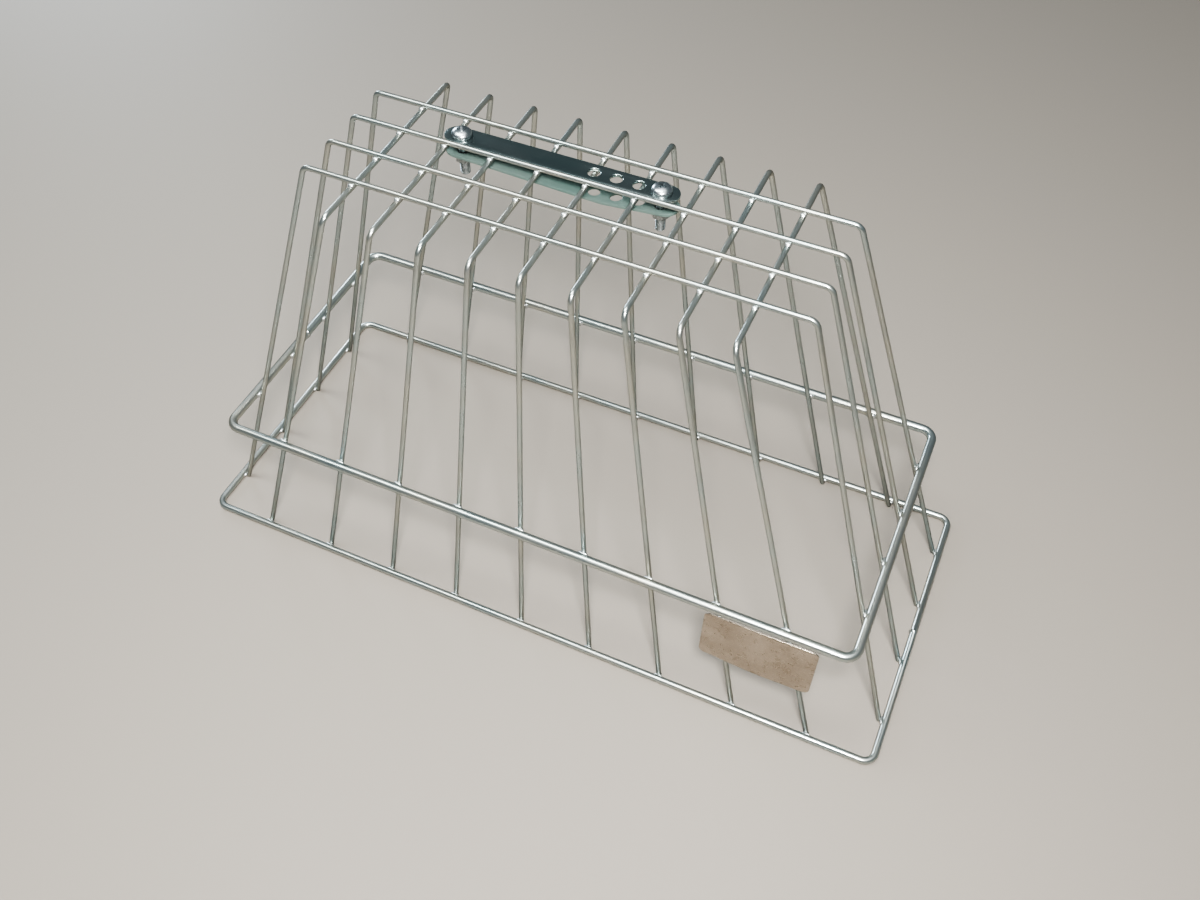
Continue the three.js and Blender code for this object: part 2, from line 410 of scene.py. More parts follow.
ALONG_X = 0
ALONG_Y = 1
long_corners = [
    wire_corners(f"long_wire_{number + 1}", ALONG_X, FLOOR_LENGTH / 2) for number in range(LONG_WIRES)
]
cross_corners = [
    wire_corners(f"cross_wire_{number + 1}", ALONG_Y, FLOOR_WIDTH / 2) for number in range(CROSS_WIRES)
]
print("wire radius", round(wire_radius / MM, 3), "mm")
print("first long wire", [tuple(round(c / MM, 1) for c in p) for p in long_corners[0]])

# %% [markdown]
# ## Bending a rod
# A bent wire could be a curve with a round bevel. As by hand, it is a disc that is extruded along
# each straight run and spun round each bend, which gives the true radius of the bending tool and an
# even closed mesh. The path of the disc is noted on the way. With no window the spin turns against
# the right-hand rule, so its angle is negative.

# %% Push and bend
BEND_STEPS = 10
WIRE_SIDES = 20
ROD_SMOOTHING = 40


def start_rod(name, place, ahead, radius, sides, fill):
    """Adds the end disc or end loop of a rod that sets off in a direction."""
    deselect_all()
    turn = ahead.to_track_quat("Z", "Y").to_euler()
    bpy.ops.mesh.primitive_circle_add(
        vertices=sides, radius=radius, fill_type=fill, location=place, rotation=turn
    )
    piece = name_and_place(name)
    edit_all()
    return piece, [(place, ahead)]


def push_rod(path, place):
    """Extrudes the end of the rod to a place straight ahead."""
    here, ahead = path[-1]
    bpy.ops.mesh.extrude_region_move(TRANSFORM_OT_translate={"value": place - here})
    path.append((place, ahead))


def bend_rod(path, after, radius):
    """Spins the end of the rod until it points in a new direction."""
    here, before = path[-1]
    turn = before.angle(after)
    axis = before.cross(after).normalized()
    centre = here + axis.cross(before) * radius
    bpy.ops.mesh.spin(steps=BEND_STEPS, angle=-turn, center=centre, axis=axis)
    for step in range(BEND_STEPS):
        part = Matrix.Rotation(turn * (step + 1) / BEND_STEPS, 3, axis)
        path.append((centre + part @ (here - centre), part @ before))


def note_run(piece, path, side, run_start):
    """Stores each point's place on the rod laid straight: two offsets across it and its run."""
    mesh = piece.data
    points = np.empty(len(mesh.vertices) * 3)
    mesh.vertices.foreach_get("co", points)
    points = points.reshape(-1, 3)
    places = np.array([place for place, _ in path])
    headings = np.array([ahead for _, ahead in path])
    steps = np.linalg.norm(np.diff(places, axis=0), axis=1)
    runs = run_start + np.concatenate(([0.0], np.cumsum(steps)))
    nearest = ((points[:, None] - places[None]) ** 2).sum(axis=2).argmin(axis=1)
    offset = points - places[nearest]
    ahead = headings[nearest]
    up = np.cross(ahead, np.array(side))
    straight = np.stack(
        (
            offset @ np.array(side),
            (offset * up).sum(axis=1),
            runs[nearest] + (offset * ahead).sum(axis=1),
        ),
        axis=1,
    )
    layer = mesh.attributes.new(RUN_ATTRIBUTE, "FLOAT_VECTOR", "POINT")
    layer.data.foreach_set("vector", straight.ravel())


# %% [markdown]
# ## The mesh wires
# Thirteen wires make the walls and the floor: four along the basket and nine across it. Each is one
# straight wire with two bends, cut off at the feet. The cut ends are bevelled a little, since the
# cutter and the plating leave no sharp rim.

# %% Long and cross wires
CUT_END_BEVEL = 0.35 * MM
CUT_END_STEPS = 2
RUN_OF_ONE_WIRE = 0.9


def bent_wire(name, corners, wire_number):
    headings = [(end - start).normalized() for start, end in zip(corners, corners[1:])]
    piece, path = start_rod(f"round_{name}", corners[0], headings[0], wire_radius, WIRE_SIDES, "NGON")
    for corner, before, after in zip(corners[1:], headings, headings[1:]):
        setback = WIRE_BEND_RADIUS * math.tan(before.angle(after) / 2)
        push_rod(path, corner - before * setback)
        bend_rod(path, after, WIRE_BEND_RADIUS)
    push_rod(path, corners[-1])
    select_where("FACE", lambda face: len(face.verts) == WIRE_SIDES)
    bpy.ops.mesh.bevel(offset=CUT_END_BEVEL, segments=CUT_END_STEPS, affect="EDGES")
    leave_facing_out()
    side = headings[0].cross(headings[1]).normalized()
    note_run(piece, path, side, wire_number * RUN_OF_ONE_WIRE)
    smooth_faces(piece, ROD_SMOOTHING)
    finish_piece(piece, wire_finish, "basket", "zinc_wire", name)


for number, corners in enumerate(long_corners):
    bent_wire(f"long_wire_{number + 1}", corners, number)
for number, corners in enumerate(cross_corners):
    bent_wire(f"cross_wire_{number + 1}", corners, LONG_WIRES + number)

# %% [markdown]
# ## The two rings
# A thicker rod runs round the feet, and a thicker one still round the walls a third of the way up.
# Each is one rod, bent at four corners and butt-welded in the middle of an end. The weld stands
# proud as a narrow collar, upwards and inwards only, because it was dressed flush below and outside.
# The rod starts at its weld as an open loop, swells and shrinks there, and meets its own start after
# the last bend, where the two loops are merged.

# %% Mouth ring and reinforcing ring
RING_SIDES = 24
MOUTH_CORNER_RADIUS = 6.5 * MM
REINFORCING_CORNER_RADIUS = 7.0 * MM
COLLAR_STEP = 0.55 * MM
COLLAR_SWELL = (1.17, 1.12, 1.0)
MERGE_DISTANCE = 0.01 * MM


def swell_rod(path, factor, held):
    """Scales the end loop of the rod about a point beside its middle."""
    centre = path[-1][0] + held
    bpy.ops.transform.resize(value=(factor, factor, factor), center_override=centre)


def welded_ring(name, corner_radius, weld_side, ring_number):
    """A closed rounded rectangle of rod; weld_side is 1 or -1, the end where its weld is."""
    middle, size = middle_and_size(name)
    radius = size.z / 2
    half_x = size.x / 2 - radius
    half_y = size.y / 2 - radius
    weld = Vector((weld_side * half_x, 0, middle.z))
    ahead = Vector((0, weld_side, 0))
    held = Vector((weld_side * radius, 0, -radius))
    piece, path = start_rod(f"round_{name}", weld, ahead, radius, RING_SIDES, "NOTHING")
    swell_rod(path, COLLAR_SWELL[0], held)
    for step in range(1, len(COLLAR_SWELL)):
        push_rod(path, weld + ahead * COLLAR_STEP * step)
        swell_rod(path, COLLAR_SWELL[step] / COLLAR_SWELL[step - 1], held)
    for turn_x, turn_y in ((1, 1), (-1, 1), (-1, -1), (1, -1)):
        corner = Vector((weld_side * turn_x * half_x, weld_side * turn_y * half_y, middle.z))
        push_rod(path, corner - ahead * corner_radius)
        ahead = Vector((-ahead.y, ahead.x, 0))
        bend_rod(path, ahead, corner_radius)
    for step in reversed(range(len(COLLAR_SWELL))):
        push_rod(path, weld - ahead * COLLAR_STEP * step)
        if step + 1 < len(COLLAR_SWELL):
            swell_rod(path, COLLAR_SWELL[step] / COLLAR_SWELL[step + 1], held)
    bpy.ops.mesh.select_all(action="SELECT")
    bpy.ops.mesh.remove_doubles(threshold=MERGE_DISTANCE)
    leave_facing_out()
    note_run(piece, path, Vector((0, 0, 1)), ring_number * RUN_OF_ONE_WIRE)
    smooth_faces(piece, ROD_SMOOTHING)
    finish_piece(piece, wire_finish, "basket", "zinc_wire", name)
    return {"half": (half_x, half_y), "z": middle.z, "radius": radius}


RIGHT_END = 1
LEFT_END = -1
RUNS_OF_ONE_RING = 2
mouth_number = LONG_WIRES + CROSS_WIRES
reinforcing_number = mouth_number + RUNS_OF_ONE_RING
rings = [
    welded_ring("mouth_ring", MOUTH_CORNER_RADIUS, RIGHT_END, mouth_number),
    welded_ring("reinforcing_ring", REINFORCING_CORNER_RADIUS, LEFT_END, reinforcing_number),
]
print("ring rods", [round(2 * ring["radius"] / MM, 2) for ring in rings], "mm")

# %% [markdown]
# ## The weld finish
# Resistance welds squeeze a little metal out of each joint. The plating over it is paler and rougher
# than on the drawn wire, with a slightly mottled skin; part of the paleness is a painted highlight
# for the bright glints that the welds catch. It could share the finish of the wires, but there are
# no die lines on a weld.

# %% Weld finish
# Part of this paleness is a painted highlight for the glints of the welds.
PALE_WELD_AND_PAINTED_GLINT = (0.72, 0.75, 0.75, 1)
DARK_WELD = (0.52, 0.54, 0.53, 1)
WELD_MOTTLE = (700, 700, 700)
MOTTLE_RANGE = (0.45, 0.7)
WELD_ROUGHNESS = 0.3
ROUGHER_MOTTLE = 0.12
WELD_SKIN_DEPTH = 0.03 * MM
WELD_SKIN_STRENGTH = 0.4


def zinc_weld_finish():
    finish = Finish("zinc_weld")
    place = object_place(finish)
    mottle = stretched_noise(place, WELD_MOTTLE, GRITTY_NOISE)
    spots = sharpened(mottle, MOTTLE_RANGE)
    finish.surface({
        "Base Color": mixed_colour(spots, PALE_WELD_AND_PAINTED_GLINT, DARK_WELD),
        "Metallic": WIRE_METALLIC,
        "Specular Tint": ZINC_EDGE,
        "Roughness": WELD_ROUGHNESS + mottle * ROUGHER_MOTTLE,
        "Normal": bumped(mottle, WELD_SKIN_DEPTH, WELD_SKIN_STRENGTH),
    })
    return finish


weld_finish = zinc_weld_finish()
print("weld finish has", len(weld_finish.tree.nodes), "nodes")

# %% [markdown]
# ## The welds
# Every crossing in the floor is a weld, and so is every place where a leg meets a ring: 88 in all.
# They could be left out, but then the wires would only seem to touch. One nugget is a small cube,
# subdivided, partly rounded and widened on the side of the thicker rod. It is copied to each joint
# and turned to lie between the two rods, with small seeded differences in size.

# %% Weld nugget
NUGGET_CUTS = 2
NUGGET_ROUNDING = 0.7
NUGGET_SMOOTHING = 60
WIDE_SIDE_FROM = 0.4
WIDE_SIDE_SPREAD = 1.25


def weld_nugget():
    """The nugget round the origin, with a half size of 1."""
    deselect_all()
    bpy.ops.mesh.primitive_cube_add(size=2)
    nugget = name_and_place("nugget")
    edit_all()
    bpy.ops.mesh.subdivide(number_cuts=NUGGET_CUTS)
    bpy.ops.transform.tosphere(value=NUGGET_ROUNDING)
    leave_edit()
    half_size = max(point.co.x for point in nugget.data.vertices)
    edit_all()
    bpy.ops.transform.resize(value=[1 / half_size] * 3, center_override=(0, 0, 0))
    select_where("FACE", lambda face: face.calc_center_median().z > WIDE_SIDE_FROM)
    bpy.ops.transform.resize(value=(WIDE_SIDE_SPREAD, 1, 1), center_override=(0, 0, 0))
    leave_edit()
    return nugget


def joint_of_rods(start, end, start_radius, place, place_radius):
    """Middle of the joint between a straight rod and the rod through a place, and its axes."""
    along = (end - start).normalized()
    foot = start + along * (place - start).dot(along)
    across = place - foot
    gap = across.length - start_radius - place_radius
    out = across.normalized()
    return foot + out * (start_radius + gap / 2), along, out


def frame_at(place, along, out, half_sizes):
    """Matrix of a nugget: Y lies along its first rod, X along the second, and Z points to that one."""
    side = along.cross(out)
    turn = Matrix((side, along, out)).transposed().to_4x4()
    return Matrix.Translation(place) @ turn @ Matrix.Diagonal((*half_sizes, 1))


# %% [markdown]
# The floor welds are small, because the clamp's strap passes close by. The ring welds are wider.

# %% Place the welds
FLOOR_NUGGET = (1.9 * MM, 1.5 * MM, 0.8 * MM)
FLOOR_NUGGET_NEARER = 0.4 * MM
MOUTH_RING_NUGGET = (2.3 * MM, 1.1 * MM, 0.95 * MM)
REINFORCING_RING_NUGGET = (2.4 * MM, 1.8 * MM, 1.05 * MM)
NUGGET_VARIATION = 0.07
WELD_SEED = 5
weld_draws = random.Random(WELD_SEED)


def varied(half_sizes):
    """Half sizes of one nugget, each up to a little larger or smaller."""
    return [half * (1 + weld_draws.uniform(-NUGGET_VARIATION, NUGGET_VARIATION)) for half in half_sizes]


def floor_joints():
    for long_wire in long_corners:
        for cross_wire in cross_corners:
            crossing = Vector((cross_wire[1].x, long_wire[1].y, cross_wire[1].z))
            place, along, out = joint_of_rods(
                long_wire[1], long_wire[2], wire_radius, crossing, wire_radius
            )
            place.y -= FLOOR_NUGGET_NEARER
            yield frame_at(place, along, out, varied(FLOOR_NUGGET))


def leg_place(leg_foot, leg_top, height):
    """Point of a leg at a height."""
    share = (height - leg_foot.z) / (leg_top.z - leg_foot.z)
    return leg_foot.lerp(leg_top, share)


def ring_joints(ring, half_sizes):
    for wires, axis in ((long_corners, ALONG_X), (cross_corners, ALONG_Y)):
        for corners in wires:
            for foot, top in ((corners[0], corners[1]), (corners[3], corners[2])):
                on_ring = leg_place(foot, top, ring["z"])
                on_ring[axis] = math.copysign(ring["half"][axis], foot[axis])
                joint = joint_of_rods(top, foot, wire_radius, on_ring, ring["radius"])
                yield frame_at(*joint, varied(half_sizes))


def own_copy(pattern):
    """Copies an object, with a mesh of its own."""
    select_only(pattern)
    bpy.ops.object.duplicate(linked=False)
    return bpy.context.object


def place_welds(name, nugget, frames):
    """Copies the nugget to each frame and joins the copies into one piece."""
    copies = []
    for nugget_frame in frames:
        copy = own_copy(nugget)
        copy.matrix_world = nugget_frame
        copies.append(copy)
    deselect_all()
    for copy in copies:
        copy.select_set(True)
    bpy.context.view_layer.objects.active = copies[0]
    bpy.ops.object.transform_apply(location=True, rotation=True, scale=True)
    bpy.ops.object.join()
    welds = name_and_place(name)
    edit_all()
    leave_facing_out()
    smooth_faces(welds, NUGGET_SMOOTHING)
    finish_piece(welds, weld_finish, "basket", "zinc_wire")


nugget = weld_nugget()
place_welds("floor_welds", nugget, floor_joints())
place_welds("mouth_ring_welds", nugget, ring_joints(rings[0], MOUTH_RING_NUGGET))
place_welds("reinforcing_ring_welds", nugget, ring_joints(rings[1], REINFORCING_RING_NUGGET))

# %% [markdown]
# ## The strap finish
# The straps of the clamp are strip steel with the same zinc. Rolling left faint marks along them,
# and the passivated plating has a stronger blue-green cast than on the wires. The outer strap still
# mirrors. The inner one is the same zinc; its colours, less metal and more roughness paint in the
# light caught between the two straps. The same network serves both, with other colours, less metal
# and another roughness.

# %% Strap finish
TEAL_ZINC = (0.29, 0.375, 0.375, 1)
GREY_ZINC = (0.35, 0.405, 0.40, 1)
# Painted light: the inner strap's colours stand in for the light caught between the two straps.
PAINTED_LIGHT_TEAL = (0.15, 0.235, 0.215, 1)
PAINTED_LIGHT_GREY = (0.195, 0.265, 0.245, 1)
ROLLING_MARKS = (14, 900, 900)
STRAP_CLOUDS = (30, 60, 60)
STRAP_SCUFFS = (90, 420, 420)
SCUFF_RANGE = (0.6, 0.8)
SCUFF_SHARE = 0.3
ROUGHER_TINT = 0.04
ROUGHER_MARKS = 0.06
ROUGHER_SCUFFS = 0.1
ROLLING_MARK_DEPTH = 0.008 * MM
ROLLING_MARK_STRENGTH = 0.4


def zinc_strap_finish(name, first_tint, second_tint, metallic, roughness):
    finish = Finish(name)
    place = object_place(finish)
    marks = stretched_noise(place, ROLLING_MARKS, GRITTY_NOISE)
    clouds = patches(place, STRAP_CLOUDS, CLOUDY_NOISE, CLOUD_RANGE)
    scuffs = patches(place, STRAP_SCUFFS, GRITTY_NOISE, SCUFF_RANGE)
    tint = mixed_colour(clouds, first_tint, second_tint)
    rougher = roughness + clouds * ROUGHER_TINT + marks * ROUGHER_MARKS
    finish.surface({
        "Base Color": mixed_colour(scuffs * SCUFF_SHARE, tint, DULL_ZINC),
        "Metallic": metallic,
        "Roughness": rougher + scuffs * ROUGHER_SCUFFS,
        "Normal": bumped(marks, ROLLING_MARK_DEPTH, ROLLING_MARK_STRENGTH),
    })
    return finish


outer_strap_finish = zinc_strap_finish(
    "zinc_strap", TEAL_ZINC, GREY_ZINC, metallic=0.985, roughness=0.16
)
# The inner strap is the same zinc, with colours and less metal that paint in the light between the
# straps.
inner_strap_finish = zinc_strap_finish(
    "painted_light_zinc_strap", PAINTED_LIGHT_TEAL, PAINTED_LIGHT_GREY, metallic=0.4, roughness=0.38
)
print("strap finish has", len(outer_strap_finish.tree.nodes), "nodes")

# %% [markdown]
# ## The two straps
# The straps are punched from strip: round ends, one hole for the left screw and four for the right
# one, three of them spare. The two are alike, so one is modelled round the origin and copied. It
# starts as a cube. Bevelling its upright edges by half its width rounds the ends, cylinders cut the
# holes, and a fine bevel on every sharp edge catches the light as the punched edge does. The punch
# drew the steel in round each hole, so the upper rims get a wider bevel, with a round profile.

# %% Punch a strap
STRAP_END_STEPS = 12
HOLE_RADIUS = 3.0 * MM
HOLE_SIDES = 40
SPARE_HOLES = 3
SPARE_HOLE_PITCH = 11.4 * MM
STRAP_EDGE_BEVEL = 0.18 * MM
STRAP_EDGE_STEPS = 2
SHARP_EDGE = math.radians(35)
RIM_ROLL = 0.5 * MM
RIM_STEPS = 3
RIM_PICK_REACH = 0.1 * MM
STRAIGHT_SHARE = 0.9

left_screw_x = middle_and_size("left_screw")[0].x
right_screw_x = middle_and_size("right_screw")[0].x
spare_hole_x = [right_screw_x - SPARE_HOLE_PITCH * (spare + 1) for spare in range(SPARE_HOLES)]


def is_upright(edge):
    return abs((edge.verts[0].co - edge.verts[1].co).normalized().z) > STRAIGHT_SHARE


def is_upper_rim(edge, holes):
    """True for an edge that goes round the upper mouth of a hole."""
    middle = (edge.verts[0].co + edge.verts[1].co) / 2
    off_rim = min(abs((middle.xy - hole.xy).length - HOLE_RADIUS) for hole in holes)
    return off_rim < RIM_PICK_REACH and middle.z > RIM_PICK_REACH


def punched_strap():
    """The strap with its middle at the origin."""
    middle, size = middle_and_size("outer_strap")
    deselect_all()
    bpy.ops.mesh.primitive_cube_add(size=1, scale=size)
    strap = name_and_place("punched_strap")
    edit_all()
    select_where("EDGE", is_upright)
    bpy.ops.mesh.bevel(offset=size.y / 2 - MERGE_DISTANCE, segments=STRAP_END_STEPS, affect="EDGES")
    leave_edit()
    holes = [Vector((x - middle.x, 0, 0)) for x in [left_screw_x, right_screw_x, *spare_hole_x]]
    for hole in holes:
        deselect_all()
        bpy.ops.mesh.primitive_cylinder_add(
            vertices=HOLE_SIDES, radius=HOLE_RADIUS, depth=size.y, location=hole
        )
        combine(strap, name_and_place("hole_punch"), "DIFFERENCE")
    select_only(strap)
    edit_all()
    rim_edges = select_where("EDGE", lambda edge: is_upper_rim(edge, holes))
    bpy.ops.mesh.bevel(offset=RIM_ROLL, segments=RIM_STEPS, affect="EDGES")
    leave_edit()
    print(rim_edges, "edges round", len(holes), "holes rolled in")
    apply_modifier(
        strap, "BEVEL", width=STRAP_EDGE_BEVEL, segments=STRAP_EDGE_STEPS,
        limit_method="ANGLE", angle_limit=SHARP_EDGE,
    )
    return strap


strap_pattern = punched_strap()
print("spare holes at", [round(x / MM, 1) for x in spare_hole_x], "mm")

# %% [markdown]
# The outer strap stayed straight, on the wires. The inner one hangs free between the screws, which
# pulled up its ends, so it has a bend where the spare holes make it weak. A copy of the pattern is
# cut across in many places, so that it can bend, and lowered. Then each end is lifted, and the rest
# follows, less and less along the strap.

# %% Outer and inner strap
STRAP_CUT_STEP = 4 * MM
STRAP_SAG = 2.9 * MM
LEFT_END_PULL = 3.2 * MM
LEFT_PULL_REACH = 84 * MM
RIGHT_END_PULL = 3.9 * MM
RIGHT_PULL_REACH = 36 * MM
PULLED_TIP = 1 * MM
SHEET_SMOOTHING = 35
LENGTHWAYS = Vector((1, 0, 0))


def cut_across(way, half_length, step):
    """Cuts the piece that is in edit mode into short lengths that stay joined, all along one way."""
    cuts = int(half_length / step)
    for cut in range(-cuts, cuts + 1):
        bpy.ops.mesh.select_all(action="SELECT")
        bpy.ops.mesh.bisect(plane_co=way * cut * step, plane_no=way)


def lift_softly(test, rise, reach, falloff):
    """In edit mode, lifts the points that pass a test, and others within reach less and less."""
    select_where("VERT", test)
    bpy.ops.transform.translate(
        value=(0, 0, rise), use_proportional_edit=True,
        proportional_edit_falloff=falloff, proportional_size=reach,
    )


def pull_end(end, half_length, rise, reach):
    """Lifts one end of the strap that is in edit mode."""
    lift_softly(lambda point: point.co.x * end > half_length - PULLED_TIP, rise, reach, "LINEAR")


def bend_strap(strap):
    half_length = strap.dimensions.x / 2
    edit_all()
    cut_across(LENGTHWAYS, half_length, STRAP_CUT_STEP)
    bpy.ops.mesh.select_all(action="SELECT")
    bpy.ops.transform.translate(value=(0, 0, -STRAP_SAG))
    pull_end(LEFT_END, half_length, LEFT_END_PULL, LEFT_PULL_REACH)
    pull_end(RIGHT_END, half_length, RIGHT_END_PULL, RIGHT_PULL_REACH)
    leave_edit()


def place_strap(strap, name, finish, body):
    strap.location = middle_and_size(name)[0]
    name_and_place(f"punched_{name}")
    smooth_faces(strap, SHEET_SMOOTHING)
    finish_piece(strap, finish, body, "zinc_strap", name)


place_strap(own_copy(strap_pattern), "outer_strap", outer_strap_finish, "outer_clamp")
bent_strap = own_copy(strap_pattern)
bend_strap(bent_strap)
place_strap(bent_strap, "inner_strap", inner_strap_finish, "inner_clamp")
bpy.data.objects.remove(strap_pattern, do_unlink=True)

# %% [markdown]
# ## The fastener finish
# Screws and nuts are barrel-plated, with tiny knocks from tumbling. The screws are brighter than the
# straps. The nuts, under the strap, are darker, so they get the same pattern in other colours.

# %% Fastener finish
BRIGHT_ZINC = (0.60, 0.64, 0.66, 1)
KNOCKED_ZINC = (0.44, 0.48, 0.49, 1)
DULL_NUT_ZINC = (0.36, 0.39, 0.40, 1)
KNOCKED_NUT_ZINC = (0.26, 0.28, 0.29, 1)
TUMBLING_KNOCKS = (500, 500, 500)
KNOCK_RANGE = (0.5, 0.72)
FASTENER_ROUGHNESS = 0.22
ROUGHER_KNOCKS = 0.12
KNOCK_DEPTH = 0.012 * MM
KNOCK_STRENGTH = 0.3


def zinc_fastener_finish(name, bright, knocked):
    finish = Finish(name)
    place = object_place(finish)
    knocks = stretched_noise(place, TUMBLING_KNOCKS, GRITTY_NOISE)
    spots = sharpened(knocks, KNOCK_RANGE)
    finish.surface({
        "Base Color": mixed_colour(spots, bright, knocked),
        "Metallic": 1.0,
        "Specular Tint": ZINC_EDGE,
        "Roughness": FASTENER_ROUGHNESS + knocks * ROUGHER_KNOCKS,
        "Normal": bumped(knocks, KNOCK_DEPTH, KNOCK_STRENGTH),
    })
    return finish


screw_finish = zinc_fastener_finish("zinc_fastener", BRIGHT_ZINC, KNOCKED_ZINC)
nut_finish = zinc_fastener_finish("dull_zinc_fastener", DULL_NUT_ZINC, KNOCKED_NUT_ZINC)
print("fastener finish has", len(screw_finish.tree.nodes), "nodes")

# %% [markdown]
# ## The thread of a screw
# The screws are 5 mm machine screws with a pitch of 0.8 mm. A bump texture could suggest a thread,
# but its teeth show at the edge of the shank, so it is modelled. The tooth starts as a plane, its
# outer edge is narrowed, and a Screw modifier winds the outline up the shank. Joined to a core and
# trimmed by a blank with a chamfered tip, it becomes one closed shank. The head's underside is at
# the origin while the screw is made.

# %% Threaded shank
THREAD_PITCH = 0.8 * MM
CREST_RADIUS = 2.45 * MM
CORE_RADIUS = 2.02 * MM
TOOTH_ROOT_RADIUS = 1.9 * MM
TOOTH_ROOT_WIDTH = 0.74 * MM
TOOTH_CREST_SHARE = 0.2
THREAD_STEPS = 24
ANY_SIDES = 0
SHANK_SIDES = 40
TIP_CHAMFER = 0.7 * MM
CHAMFER_STEPS = 1
INTO_HEAD = 0.6 * MM

outer_strap_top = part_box("outer_strap")[1][2]
screw_low, screw_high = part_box("left_screw")
shank_length = outer_strap_top - screw_low[2]
head_height = screw_high[2] - outer_strap_top
head_radius = (screw_high[0] - screw_low[0]) / 2


def thread_ridge():
    turns = math.floor(shank_length / THREAD_PITCH)
    depth = CREST_RADIUS - TOOTH_ROOT_RADIUS
    middle = Vector((TOOTH_ROOT_RADIUS + depth / 2, 0, -shank_length))
    deselect_all()
    bpy.ops.mesh.primitive_plane_add(size=1, location=middle, rotation=(math.pi / 2, 0, 0))
    bpy.context.object.scale = (depth, TOOTH_ROOT_WIDTH, 1)
    ridge = name_and_place("thread_ridge")
    edit_all()
    select_where("VERT", lambda point: point.co.x > middle.x)
    bpy.ops.transform.resize(value=(1, 1, TOOTH_CREST_SHARE), center_override=middle)
    bpy.ops.mesh.select_all(action="SELECT")
    bpy.ops.mesh.delete(type="ONLY_FACE")
    leave_edit()
    apply_modifier(
        ridge, "SCREW", axis="Z", angle=2 * math.pi, screw_offset=THREAD_PITCH, iterations=turns,
        steps=THREAD_STEPS, render_steps=THREAD_STEPS,
    )
    edit_all()
    bpy.ops.mesh.fill_holes(sides=ANY_SIDES)
    leave_facing_out()
    return ridge


def faces_down(face):
    return face.normal.z < -STRAIGHT_SHARE


def shank_bar(name, radius):
    deselect_all()
    bpy.ops.mesh.primitive_cylinder_add(
        vertices=SHANK_SIDES, radius=radius, depth=shank_length + INTO_HEAD,
        location=(0, 0, (INTO_HEAD - shank_length) / 2),
    )
    return name_and_place(name)


def threaded_shank():
    ridge = thread_ridge()
    shank = shank_bar("shank", CORE_RADIUS)
    combine(shank, ridge, "UNION")
    blank = shank_bar("shank_blank", CREST_RADIUS + MERGE_DISTANCE)
    edit_all()
    select_where("FACE", faces_down)
    bpy.ops.mesh.bevel(offset=TIP_CHAMFER, segments=CHAMFER_STEPS, affect="EDGES")
    leave_edit()
    combine(shank, blank, "INTERSECT")
    return shank


shank = threaded_shank()
print("shank", len(shank.data.polygons), "faces,", open_edges(shank), "open edges")

# %% [markdown]
# ## The pan heads
# A pan head is a low dome on a short straight side, with a cross recess. A bevelled cylinder would
# leave the top flat and dark, so the dome is the upper half of a flattened sphere: the lower half is
# bisected away, and the open rim is extruded down to the strap and filled. Each slot of the cross is
# a cube that narrows towards the bottom. The right screw is a copy of the left one, with its own
# mesh, turned to where it was last tightened.

# %% Heads and the two screws
HEAD_SIDES = 56
HEAD_DOME_RINGS = 28
HEAD_SIDE_HEIGHT = 1.1 * MM
HEAD_FOOT_BEVEL = 0.25 * MM
HEAD_FOOT_STEPS = 2
RECESS_LENGTH = 5.2 * MM
RECESS_WIDTH = 1.15 * MM
RECESS_DEPTH = 2.1 * MM
RECESS_ABOVE = 1.0 * MM
RECESS_TAPER = (0.5, 0.8, 1.0)
SCREW_SMOOTHING = 35
SCREW_TURNS = {"left_screw": math.radians(28), "right_screw": math.radians(-12)}


def recess_slot(turn):
    """One slot of the cross recess, as a tool that cuts it."""
    depth = RECESS_DEPTH + RECESS_ABOVE
    place = Vector((0, 0, head_height + RECESS_ABOVE - depth / 2))
    deselect_all()
    bpy.ops.mesh.primitive_cube_add(size=1, location=place)
    bpy.context.object.scale = (RECESS_LENGTH, RECESS_WIDTH, depth)
    slot = name_and_place("recess_slot")
    edit_all()
    select_where("FACE", faces_down)
    bpy.ops.transform.resize(value=RECESS_TAPER, center_override=place)
    leave_edit()
    slot.rotation_euler.z = turn
    return slot


def pan_head_screw():
    side_top = Vector((0, 0, HEAD_SIDE_HEIGHT))
    deselect_all()
    bpy.ops.mesh.primitive_uv_sphere_add(
        segments=HEAD_SIDES, ring_count=HEAD_DOME_RINGS, radius=1, location=side_top,
        scale=(head_radius, head_radius, head_height - HEAD_SIDE_HEIGHT),
    )
    screw = name_and_place("pan_head_screw")
    edit_all()
    bpy.ops.mesh.bisect(plane_co=side_top, plane_no=(0, 0, 1), clear_inner=True)
    select_where("EDGE", lambda edge: edge.is_boundary)
    bpy.ops.mesh.extrude_region_move(TRANSFORM_OT_translate={"value": -side_top})
    bpy.ops.mesh.edge_face_add()
    select_where("FACE", faces_down)
    bpy.ops.mesh.bevel(offset=HEAD_FOOT_BEVEL, segments=HEAD_FOOT_STEPS, affect="EDGES")
    leave_facing_out()
    combine(screw, recess_slot(0), "DIFFERENCE")
    combine(screw, recess_slot(math.pi / 2), "DIFFERENCE")
    combine(screw, shank, "UNION")
    return screw


def place_screw(screw, name, body):
    """Copies the screw to its place in the clamp."""
    middle = middle_and_size(name)[0]
    copy = own_copy(screw)
    copy.location = (middle.x, middle.y, outer_strap_top)
    copy.rotation_euler.z = SCREW_TURNS[name]
    name_and_place(f"threaded_{name}")
    smooth_faces(copy, SCREW_SMOOTHING)
    finish_piece(copy, screw_finish, body, "zinc_fastener", name)


screw_pattern = pan_head_screw()
place_screw(screw_pattern, "left_screw", "left_clamp_screw")
place_screw(screw_pattern, "right_screw", "right_clamp_screw")
bpy.data.objects.remove(screw_pattern, do_unlink=True)

